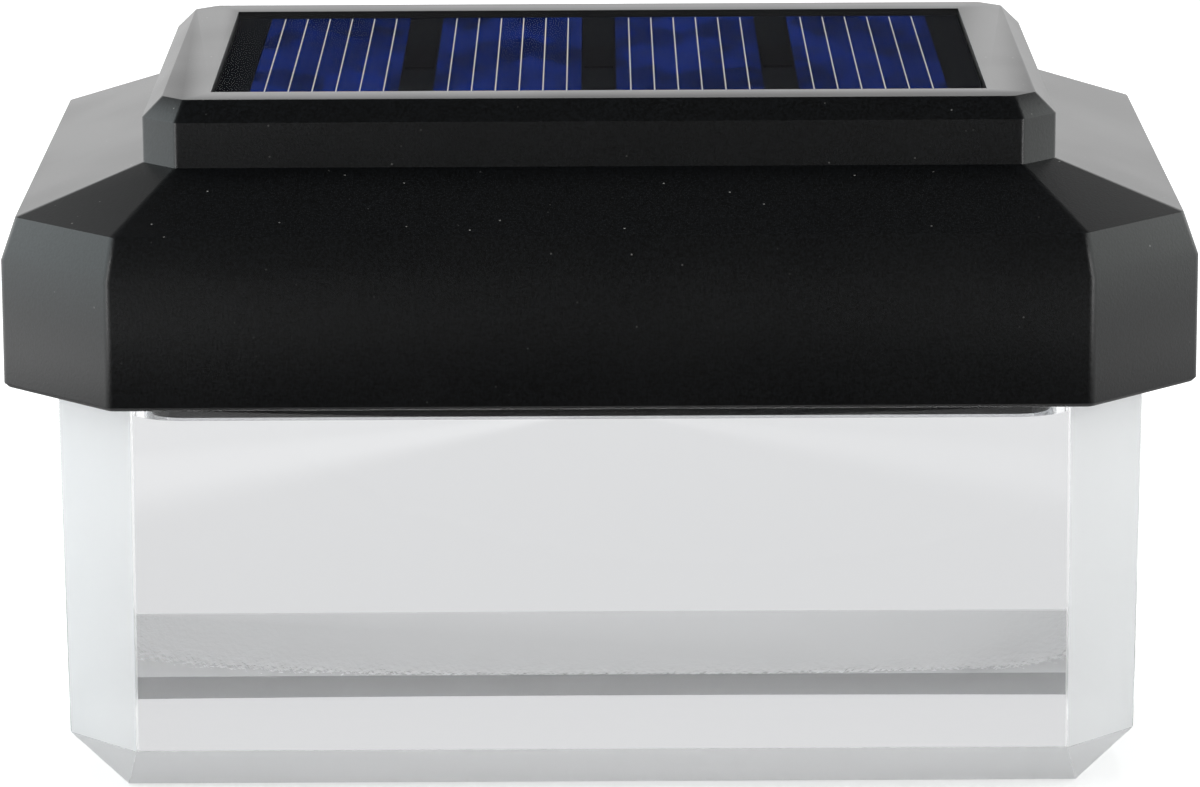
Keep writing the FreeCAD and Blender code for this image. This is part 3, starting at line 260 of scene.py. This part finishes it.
# Painted glow in mirrors in a band to each side of the block, stronger on the left.
near, far = ramp(tree, away, 0.12, 0.2, 0.0, 1.0), ramp(tree, away, 0.24, 0.36, 2.0, 1.2)
left_brighter = ramp(tree, along.outputs["X"], -0.1, 0.1, 1.0, 0.55)
painted_glow_beside_block = maths(tree, "MULTIPLY", maths(tree, "MULTIPLY", near, far), left_brighter)
unlit = maths(tree, "MAXIMUM", mirror, glass)
wire(tree, blend(tree, unlit, (0.86, 0.86, 0.86), (0.0, 0.0, 0.0)), shader.inputs["Base Color"])
in_mirror = maths(tree, "MULTIPLY", mirror, maths(tree, "MAXIMUM", painted_glow_near_block, painted_glow_beside_block))
once_mirrored = maths(tree, "MINIMUM", view.outputs["Glossy Depth"], 1.0)
# Painted shade through the glass: the floor in front of the block is darkened once the ray has been
# mirrored, and it is a little brighter behind.
turned = maths(tree, "MULTIPLY", once_mirrored, ramp(tree, along.outputs["Y"], -0.07, -0.045, 0.85, 0.0))
seen = maths(tree, "MULTIPLY", ramp(tree, along.outputs["Y"], 0.05, 0.2, 0.95, 1.04),
             maths(tree, "SUBTRACT", 1.0, turned))
# Painted light on the floor under the block, as seen through the glass.
below = ramp(tree, maths(tree, "ABSOLUTE", along.outputs["Y"], 0.0), 0.04, 0.06, 0.35, 0.0)
in_glass = maths(tree, "MULTIPLY", glass, maths(tree, "ADD", seen, below))
glow = maths(tree, "ADD", in_mirror, in_glass)
wire(tree, maths(tree, "ADD", glow, maths(tree, "MULTIPLY", eye, 0.5)), shader.inputs["Emission Strength"])
shader.inputs["Emission Color"].default_value = (1, 1, 1, 1)
floor_mesh.materials.append(material)
print("ground is", round(floor.dimensions.x, 1), "m wide")

# %% [markdown]
# ## Fine edges
#
# The exact model has sharp edges, and a moulded part never has. A sharp edge
# catches no light, which is what makes a model look like one. So each large
# piece is copied from the exact model and its edges are bevelled by a few
# tenths of a millimetre. A loaded mesh is loose triangles, so the copy is
# merged first, and its flat faces are joined before the bevel.
# The narrow faces of a bevel are shaded as one round. A wide face stays flat,
# because a normal that leans over a whole face would bend what it mirrors
# and what is seen through it.


# %% A copy of a piece with fine edges
merge_within = 0.002 * MM
flat_within = math.radians(0.5)
crisp_above = 25  # degrees
sharp_above = math.radians(50)
largest_rounded = 20 * MM * MM  # a face above this is a wide flat one and isn't shaded round


def crisp(shape, angle, chosen=None):
    """The edges that turn by more than an angle in degrees, if the choice takes them."""
    return [edge for edge in shape.edges
            if len(edge.link_faces) == 2 and edge.calc_face_angle() > math.radians(angle)
            and (chosen is None or chosen(edge))]


def round_off(shape, edges, width, segments):
    """Bevel the edges by a width in millimetres."""
    bmesh.ops.bevel(
        shape, geom=edges, offset=width * MM, offset_type="OFFSET", segments=segments,
        profile=0.5, affect="EDGES", material=-1, clamp_overlap=True,
    )


def upright(edge):
    """A long edge that stands more or less straight up."""
    return abs(edge.verts[0].co.z - edge.verts[1].co.z) > 30 * MM


def softened(name, width, segments=2, material=None, chosen=None, facet=0.0):
    """Stand a bevelled copy in for a loaded piece. A facet first flattens its upright edges."""
    shape = bmesh.new()
    shape.from_mesh(nodes[name].data)
    bmesh.ops.remove_doubles(shape, verts=shape.verts, dist=merge_within)
    bmesh.ops.dissolve_limit(
        shape, angle_limit=flat_within, verts=shape.verts, edges=shape.edges,
        use_dissolve_boundaries=False,
    )
    if facet:
        round_off(shape, [edge for edge in crisp(shape, crisp_above, chosen) if upright(edge)], facet, 1)
    edges = crisp(shape, crisp_above, chosen)
    round_off(shape, edges, width, segments)
    for face in shape.faces:
        face.smooth = face.calc_area() < largest_rounded
    mesh = bpy.data.meshes.new(name + "_fine")
    shape.to_mesh(mesh)
    shape.free()
    loaded_normals = mesh.attributes.get("custom_normal")
    if loaded_normals:
        mesh.attributes.remove(loaded_normals)
    mesh.set_sharp_from_angle(angle=sharp_above)
    piece = bpy.data.objects.new(name + "_fine", mesh)
    scene.collection.objects.link(piece)
    body =next(key for key, holder in frame["bodies"].items() if nodes[name].parent == holder)
    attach(piece, body)
    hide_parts(name)
    if material:
        mesh.materials.append(material)
    print(name, "->", len(edges), "edges bevelled,", len(mesh.polygons), "faces")
    return piece


# %% [markdown]
# ## Effects that several finishes share
#
# A moulded part, a sheet of metal and a rubber seal differ in colour and in
# gloss, but the same three things make each of them look real: a fine grain,
# edges that are rubbed a little brighter, and a few specks of dust on top.
# Each of these is built once as a group of nodes and placed in the
# materials, where its numbers are set.


# %% A node group with named inputs and outputs
def new_group(name, inputs, outputs):
    group = bpy.data.node_groups.new(name, "ShaderNodeTree")
    for label, value in inputs.items():
        socket = group.interface.new_socket(name=label, in_out="INPUT", socket_type="NodeSocketFloat")
        socket.default_value = value
    for label, kind in outputs.items():
        group.interface.new_socket(name=label, in_out="OUTPUT", socket_type="NodeSocket" + kind)
    return group, group.nodes.new("NodeGroupInput"), group.nodes.new("NodeGroupOutput")


def place(tree, group, **values):
    node = tree.nodes.new("ShaderNodeGroup")
    node.node_tree = group
    for name, value in values.items():
        node.inputs[name.replace("_", " ")].default_value = value
    return node


def noise(tree, coordinates, scale, detail=2.0, roughness=0.5):
    """A noise whose scale is a number or a socket."""
    node = add(tree, "ShaderNodeTexNoise", Detail=detail, Roughness=roughness)
    wire(tree, coordinates, node.inputs["Vector"])
    if isinstance(scale, (int, float)):
        node.inputs["Scale"].default_value = scale
    else:
        wire(tree, scale, node.inputs["Scale"])
    return node.outputs["Fac"]


# %% Grain: fine bumps, and a slow change of gloss
grain, entry, leave = new_group(
    "grain",
    {"Size mm": 0.3, "Depth mm": 0.01, "Patch mm": 15.0},
    {"Normal": "Vector", "Patches": "Float", "Fleck": "Float"},
)
where = add(grain, "ShaderNodeTexCoord").outputs["Object"]
fine = noise(grain, where, maths(grain, "DIVIDE", 1000.0, entry.outputs["Size mm"]))
bump = add(grain, "ShaderNodeBump", Strength=1.0)
wire(grain, maths(grain, "MULTIPLY", entry.outputs["Depth mm"], MM), bump.inputs["Distance"])
wire(grain, fine, bump.inputs["Height"])
wire(grain, bump.outputs["Normal"], leave.inputs["Normal"])
wire(grain, ramp(grain, fine, 0.3, 0.7, 0.0, 1.0), leave.inputs["Fleck"])
patch_scale = maths(grain, "DIVIDE", 1000.0, entry.outputs["Patch mm"])
wire(grain, noise(grain, where, patch_scale), leave.inputs["Patches"])
print("grain:", len(grain.nodes), "nodes")

# %% Edge wear: where a rounded normal leaves the true one
edge_wear, entry, leave = new_group("edge_wear", {"Width mm": 0.3, "Amount": 0.5}, {"Mask": "Float"})
rounded = add(edge_wear, "ShaderNodeBevel", samples=4)
wire(edge_wear, maths(edge_wear, "MULTIPLY", entry.outputs["Width mm"], MM), rounded.inputs["Radius"])
true_normal = add(edge_wear, "ShaderNodeNewGeometry").outputs["Normal"]
agree = add(edge_wear, "ShaderNodeVectorMath", operation="DOT_PRODUCT")
wire(edge_wear, rounded.outputs["Normal"], agree.inputs[0])
wire(edge_wear, true_normal, agree.inputs[1])
edges = ramp(edge_wear, agree.outputs["Value"], 0.85, 0.995, 1.0, 0.0)
where = add(edge_wear, "ShaderNodeTexCoord").outputs["Object"]
broken = ramp(edge_wear, noise(edge_wear, where, 700.0, 4.0), 0.4, 0.65, 0.0, 1.0)
worn = maths(edge_wear, "MULTIPLY", maths(edge_wear, "MULTIPLY", edges, broken), entry.outputs["Amount"])
wire(edge_wear, worn, leave.inputs["Mask"])
print("edge wear:", len(edge_wear.nodes), "nodes")

# %% Dust: sparse specks on whatever faces up
dust, entry, leave = new_group("dust", {"Speck mm": 1.6, "Amount": 0.5}, {"Mask": "Float"})
where = add(dust, "ShaderNodeTexCoord").outputs["Object"]
facing = add(dust, "ShaderNodeSeparateXYZ")
wire(dust, add(dust, "ShaderNodeNewGeometry").outputs["Normal"], facing.inputs[0])
upward = ramp(dust, facing.outputs["Z"], -0.2, 0.8, 0.12, 1.0)
specks = add(dust, "ShaderNodeTexVoronoi", feature="F1")
wire(dust, where, specks.inputs["Vector"])
wire(dust, maths(dust, "DIVIDE", 1000.0, entry.outputs["Speck mm"]), specks.inputs["Scale"])
dots = ramp(dust, specks.outputs["Distance"], 0.03, 0.09, 1.0, 0.0)
few = ramp(dust, noise(dust, where, 260.0, 3.0), 0.5, 0.62, 0.0, 1.0)
share = maths(dust, "MULTIPLY", upward, entry.outputs["Amount"])
amount = maths(dust, "MULTIPLY", maths(dust, "MULTIPLY", dots, few), share)
wire(dust, amount, leave.inputs["Mask"])
print("dust:", len(dust.nodes), "nodes")

# %% [markdown]
# ## Moulded plastic, rubber and metal
#
# Most finishes follow one recipe. The colour is rubbed lighter at the edges
# and gets its dust, the roughness wanders a little from patch to patch, and
# the grain tilts the surface by a hair. Only the numbers differ.


# %% One recipe for opaque finishes
def finish(name, colour, roughness, grain_mm=0.3, depth_mm=0.01, worn=None, wear=0.4, specks=0.0,
           metal=0.0, spread=0.06, gloss=0.5, fleck=0.08):
    """A material whose wear colour defaults to a lighter tone of its own colour."""
    material, tree, shader = new_material(name)
    surface = place(tree, grain, Size_mm=grain_mm, Depth_mm=depth_mm)
    rubbed = place(tree, edge_wear, Amount=wear)
    worn = worn or tuple(min(1.0, 0.04 + 1.6 * value) for value in colour)
    lighter = tuple(min(1.0, (1 + fleck) * value) for value in colour)
    flecked = blend(tree, surface.outputs["Fleck"], tuple((1 - fleck) * value for value in colour), lighter)
    shade = blend(tree, rubbed.outputs["Mask"], flecked, worn)
    if specks:
        fluff = place(tree, dust, Amount=specks)
        shade = blend(tree, fluff.outputs["Mask"], shade, (0.45, 0.44, 0.42))
    wire(tree, shade, shader.inputs["Base Color"])
    wire(tree, ramp(tree, surface.outputs["Patches"], 0.3, 0.7, roughness - spread, roughness + spread),
         shader.inputs["Roughness"])
    wire(tree, surface.outputs["Normal"], shader.inputs["Normal"])
    shader.inputs["Metallic"].default_value = metal
    shader.inputs["Specular IOR Level"].default_value = gloss
    return material


looks = {
    "cap_plastic": finish("cap_plastic", (0.0018, 0.0021, 0.0026), 0.36, 0.28, 0.013,
                          worn=(0.03, 0.03, 0.03), wear=0.25, specks=0.5, spread=0.012,
                          gloss=0.6, fleck=0.9),
    "base_plastic": finish("base_plastic", (0.009, 0.0095, 0.0095), 0.42, 0.3, 0.01,
                         worn=(0.035, 0.035, 0.035)),
    "board_black": finish("board_black", (0.004, 0.0045, 0.006), 0.3, 0.4, 0.003, wear=0.0, gloss=0.0),
    "link_black": finish("link_black", (0.002, 0.002, 0.003), 0.55, 0.2, 0.01, wear=0.0, gloss=0.0),
    "foam_grey": finish("foam_grey", (0.06, 0.06, 0.062), 0.9, 0.35, 0.12, wear=0.0),
    "seal_rubber": finish("seal_rubber", (0.012, 0.012, 0.012), 0.62, 0.4, 0.03, worn=(0.05, 0.05, 0.05)),
    "zinc_steel": finish("zinc_steel", (0.52, 0.52, 0.49), 0.34, 0.5, 0.006,
                         worn=(0.75, 0.75, 0.72), metal=1.0),
    "nickel_plate": finish("nickel_plate", (0.66, 0.63, 0.56), 0.22, 0.6, 0.004,
                           worn=(0.8, 0.77, 0.7), metal=1.0),
    "chip_black": finish("chip_black", (0.012, 0.012, 0.013), 0.5, 0.15, 0.01),
    "coil_black": finish("coil_black", (0.02, 0.02, 0.022), 0.45, 0.3, 0.02),
    "switch_can": finish("switch_can", (0.6, 0.6, 0.58), 0.3, 0.5, 0.005, worn=(0.8, 0.8, 0.78), metal=1.0),
    "knob_plastic": finish("knob_plastic", (0.72, 0.71, 0.67), 0.45, 0.3, 0.01, worn=(0.85, 0.84, 0.8)),
    "lead_red": finish("lead_red", (0.42, 0.012, 0.012), 0.5, 0.3, 0.01, worn=(0.55, 0.05, 0.05)),
    "lead_black": finish("lead_black", (0.012, 0.012, 0.013), 0.5, 0.3, 0.01),
}
print(len(looks), "opaque finishes")

# %% [markdown]
# ## Clear acrylic
#
# The wide faces of the block are polished, so one looks straight through
# them. Its slanted corners and the bevel round its foot came from a mould
# with a pebbled surface: they scatter the light and look like frosted glass.
# The narrow facets along the upright edges get a near-white, hazy tint, a
# painted highlight for the light they catch. All four finishes are the same
# acrylic, with different tints, gloss and haze. The tints are painted light:
# the polished faces are tinted darker, a painted shade for the grey seen
# through the block, and the frosted faces are tinted near white, a painted
# brightness.


# %% The four finishes of the block
def acrylic(name, tint, roughness, haze=0.0, bump_mm=0.0, pebble_mm=1.0):
    material, tree, shader = new_material(name)
    shader.inputs["Base Color"].default_value = (tint - 0.006, tint, min(1.0, tint + 0.012), 1)
    shader.inputs["Roughness"].default_value = roughness
    shader.inputs["IOR"].default_value = 1.49
    shader.inputs["Transmission Weight"].default_value = 1.0 - haze
    if bump_mm:
        where = add(tree, "ShaderNodeTexCoord").outputs["Object"]
        pebbles = noise(tree, where, 1000.0 / pebble_mm)
        bump = add(tree, "ShaderNodeBump", Strength=1.0, Distance=bump_mm * MM)
        wire(tree, pebbles, bump.inputs["Height"])
        wire(tree, bump.outputs["Normal"], shader.inputs["Normal"])
    return material


# The tints are painted light: the polished faces are tinted darker, a painted shade, and the frosted faces
# and edge facets near white, a painted brightness. Roughness, haze and pebbles are the acrylic's own.
looks["clear_acrylic"] = acrylic("clear_acrylic", 0.78, 0.0)
pebbled = acrylic("pebbled_acrylic", 0.99, 0.8, 0.4, 0.004, 0.5)
foot_acrylic = acrylic("foot_acrylic", 0.99, 0.6, 0.15, 0.004, 0.5)
# Painted highlight: a near-white, hazy tint that makes the edge facets look lit.
painted_edge_highlight = acrylic("painted_edge_highlight", 0.99, 0.15, 0.3)
print("acrylic index of refraction 1.49")

# %% [markdown]
# ## The solar cells
#
# The cells are cut from one wafer of silicon that froze in many crystals.
# Each crystal reflects a slightly different blue, which gives the mottled
# look. A cell texture on stretched coordinates makes such crystals, and a
# second, finer one breaks them up.

# %% Silicon and its silver fingers
material, tree, shader = new_material("cell_blue")
where = add(tree, "ShaderNodeTexCoord").outputs["Object"]
stretch = add(tree, "ShaderNodeMapping")
stretch.inputs["Scale"].default_value = (1.0, 0.45, 1.0)
wire(tree, where, stretch.inputs["Vector"])
crystals = []
for size_mm in (5.0, 1.6):
    cells = add(tree, "ShaderNodeTexVoronoi", feature="F1", Scale=1000.0 / size_mm)
    wire(tree, stretch.outputs["Vector"], cells.inputs["Vector"])
    tone = add(tree, "ShaderNodeSeparateColor")
    wire(tree, cells.outputs["Color"], tone.inputs[0])
    crystals.append(tone.outputs[0])
coarse, finer = maths(tree, "MULTIPLY", crystals[0], 0.65), maths(tree, "MULTIPLY", crystals[1], 0.35)
mottle = maths(tree, "ADD", coarse, finer)
shade = blend(tree, mottle, (0.001, 0.003, 0.02), (0.006, 0.018, 0.13))
wire(tree, shade, shader.inputs["Base Color"])
wire(tree, ramp(tree, crystals[0], 0.0, 1.0, 0.35, 0.5), shader.inputs["Roughness"])
shader.inputs["Specular IOR Level"].default_value = 0.0
looks["cell_blue"] = material
silver = finish("silver_print", (0.52, 0.5, 0.46), 0.45, 0.2, 0.005, wear=0.0, gloss=0.0)
print("silicon shades mixed from", len(crystals), "crystal sizes")

# %% The clear coat over the cells
material, tree, shader = new_material("glaze_clear")
shader.inputs["Base Color"].default_value = (1, 1, 1, 1)
shader.inputs["Metallic"].default_value = 1.0
shader.inputs["Roughness"].default_value = 0.08
shader.inputs["Alpha"].default_value = 0.003
looks["glaze_clear"] = material
print("the coat mirrors 0.3 % of the light")

# %% [markdown]
# ## The small electronics
#
# These pieces lie hidden in the head, and show when it is lifted off its
# block or the light is turned over. The battery has a plain green sleeve
# between bare metal ends, the circuit board is green lacquer over copper
# tracks, and the two lamps are clear epoxy.

# %% Battery, circuit board and lamps
material, tree, shader = new_material("cell_sleeve")
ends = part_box("battery")
along = add(tree, "ShaderNodeSeparateXYZ")
wire(tree, add(tree, "ShaderNodeTexCoord").outputs["Object"], along.inputs[0])
bare_minus, bare_plus, fade = 0.8 * MM, 2.0 * MM, 0.1 * MM
left, right = ends[0][0] + bare_minus, ends[1][0] - bare_plus
left_end = ramp(tree, along.outputs["X"], left, left + fade, 1.0, 0.0)
right_end = ramp(tree, along.outputs["X"], right, right + fade, 0.0, 1.0)
bare = maths(tree, "MAXIMUM", left_end, right_end)
surface = place(tree, grain, Size_mm=0.8, Depth_mm=0.004)
wire(tree, blend(tree, bare, (0.012, 0.11, 0.05), (0.6, 0.6, 0.58)), shader.inputs["Base Color"])
wire(tree, bare, shader.inputs["Metallic"])
wire(tree, ramp(tree, surface.outputs["Patches"], 0.3, 0.7, 0.2, 0.3), shader.inputs["Roughness"])
wire(tree, surface.outputs["Normal"], shader.inputs["Normal"])
looks["cell_sleeve"] = material

material, tree, shader = new_material("board_green")
where = add(tree, "ShaderNodeTexCoord").outputs["Object"]
tracks = add(tree, "ShaderNodeTexBrick", Scale=1000.0 / 9.0, Mortar_Size=0.035, Mortar_Smooth=0.1)
tracks.inputs["Color1"].default_value = (1, 1, 1, 1)
tracks.inputs["Color2"].default_value = (1, 1, 1, 1)
tracks.inputs["Mortar"].default_value = (0, 0, 0, 1)
wire(tree, where, tracks.inputs["Vector"])
lacquer = blend(tree, tracks.outputs["Fac"], (0.008, 0.09, 0.035), (0.03, 0.2, 0.07))
wire(tree, lacquer, shader.inputs["Base Color"])
surface = place(tree, grain, Size_mm=0.6, Depth_mm=0.006)
wire(tree, ramp(tree, surface.outputs["Patches"], 0.3, 0.7, 0.22, 0.34), shader.inputs["Roughness"])
bump = add(tree, "ShaderNodeBump", Strength=1.0, Distance=0.03 * MM)
wire(tree, tracks.outputs["Fac"], bump.inputs["Height"])
wire(tree, bump.outputs["Normal"], shader.inputs["Normal"])
looks["board_green"] = material

material, tree, shader = new_material("lamp_epoxy")
shader.inputs["Base Color"].default_value = (0.96, 0.94, 0.86, 1)
shader.inputs["Transmission Weight"].default_value = 1.0
shader.inputs["Roughness"].default_value = 0.04
shader.inputs["IOR"].default_value = 1.53
looks["lamp_epoxy"] = material
print(len(looks), "finishes ready")

# %% Every loaded piece gets the finish its record names
slot_of = {item["node"]: item["material_slot"] for item in frame["record"]["subparts"]}
for name, slot in slot_of.items():
    for holder in nodes[name].material_slots:
        holder.material = looks[slot]
    if not nodes[name].material_slots:
        nodes[name].data.materials.append(looks[slot])
print({slot: sum(value == slot for value in slot_of.values()) for slot in looks})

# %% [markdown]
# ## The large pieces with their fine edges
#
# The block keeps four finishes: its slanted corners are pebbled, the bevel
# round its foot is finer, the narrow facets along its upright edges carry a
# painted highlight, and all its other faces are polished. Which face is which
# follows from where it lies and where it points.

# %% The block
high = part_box("clear_block")[1]
pocket_side, pocket_front, pocket_low = 7.4 * MM, 6 * MM, 30 * MM


def outside_edge(edge):
    """Leave the pocket's own edges sharp, as the mould's core makes them."""
    middle = (edge.verts[0].co + edge.verts[1].co) / 2
    beside_pocket = abs(middle.x) > high[0] - pocket_side
    before_pocket = abs(middle.y) > high[1] - pocket_front
    return beside_pocket or before_pocket or middle.z < pocket_low


block = softened("clear_block", 0.3, 3, looks["clear_acrylic"], outside_edge, facet=0.27)
for look in (pebbled, foot_acrylic, painted_edge_highlight):
    block.data.materials.append(look)
counts = [0, 0, 0, 0]
outer_share = 0.86
foot_low, foot_high, facet_high = 0.3 * MM, 5.3 * MM, 40 * MM
wide, narrow = 20 * MM * MM, 5 * MM * MM
for face in block.data.polygons:
    middle, points = face.center, face.normal
    outer = abs(middle.x) / high[0] > outer_share or abs(middle.y) / high[1] > outer_share
    slanted = min(abs(points.x), abs(points.y)) > 0.6 and abs(points.z) < 0.2
    if outer and slanted and face.area > wide:
        face.material_index = 1
    elif points.z < -0.3 and foot_low < middle.z < foot_high and face.area > narrow:
        face.material_index = 2
    # Index 3, the facets along the upright edges, carries the painted highlight.
    elif outer and abs(points.z) < 0.2 and 0.2 < abs(points.x) < 0.98 and middle.z < facet_high:
        face.material_index = 3
    counts[face.material_index] += 1
print("polished, pebbled, foot and edge faces:", counts)

# %% The head, the base plate and the cover
for name, width in (("cap_shell", 0.35), ("base_plate", 0.15), ("battery_cover", 0.15)):
    piece = softened(name, width, material=looks[slot_of[name]])

# %% [markdown]
# ## The panel
#
# Six silver fingers run across each cell and gather its current. They are
# printed lines a tenth of a millimetre wide, too thin for a texture to keep
# sharp, so each is a thin flat strip. The clear coat is a slab with a fine
# bevel that ends just above the cells.


# %% Small helpers for solids made by operators
def solid(name, shape, body, look, slot, *replaced):
    """Turn a bmesh into a piece that rides on a body and stands for the loaded pieces."""
    bmesh.ops.recalc_face_normals(shape, faces=shape.faces)
    mesh = bpy.data.meshes.new(name)
    shape.to_mesh(mesh)
    shape.free()
    mesh.materials.append(look)
    piece = bpy.data.objects.new(name, mesh)
    scene.collection.objects.link(piece)
    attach(piece, body)
    if replaced:
        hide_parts(*replaced)
    return piece


def add_box(shape, low, high):
    """Add a box between two corners and return its vertices."""
    low, high = Vector(low), Vector(high)
    verts = bmesh.ops.create_cube(shape, size=1.0)["verts"]
    bmesh.ops.scale(shape, vec=high - low, verts=verts)
    bmesh.ops.translate(shape, vec=(low + high) / 2, verts=verts)
    return verts


# %% Silver fingers
low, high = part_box("solar_cells")
cell_pitch, finger_pitch = 18.6 * MM, 2.415 * MM
half_width, short_of_end = 0.06 * MM, 0.4 * MM
sunk, proud = 0.01 * MM, 0.02 * MM
shape = bmesh.new()
for cell in range(4):
    middle = (cell - 1.5) * cell_pitch
    for finger in range(6):
        x = middle + (finger - 2.5) * finger_pitch
        add_box(shape, (x - half_width, low[1] + short_of_end, high[2] - sunk),
                (x + half_width, high[1] - short_of_end, high[2] + proud))
fingers = solid("cell_fingers", shape, "head", silver, "cell_blue")
print("fingers:", len(fingers.data.polygons) // 6)

# %% The clear coat
low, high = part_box("panel_glaze")
shape = bmesh.new()
coat_thick, coat_edge = 0.3 * MM, 0.08 * MM
add_box(shape, (low[0], low[1], high[2] - coat_thick), high)
bmesh.ops.bevel(shape, geom=shape.edges[:], offset=coat_edge, offset_type="OFFSET", segments=2,
                profile=0.5, affect="EDGES", material=-1)
coat = solid("panel_coat", shape, "head", looks["glaze_clear"], "glaze_clear", "panel_glaze")
print("coat thickness in mm:", round(coat.dimensions.z / MM, 2))
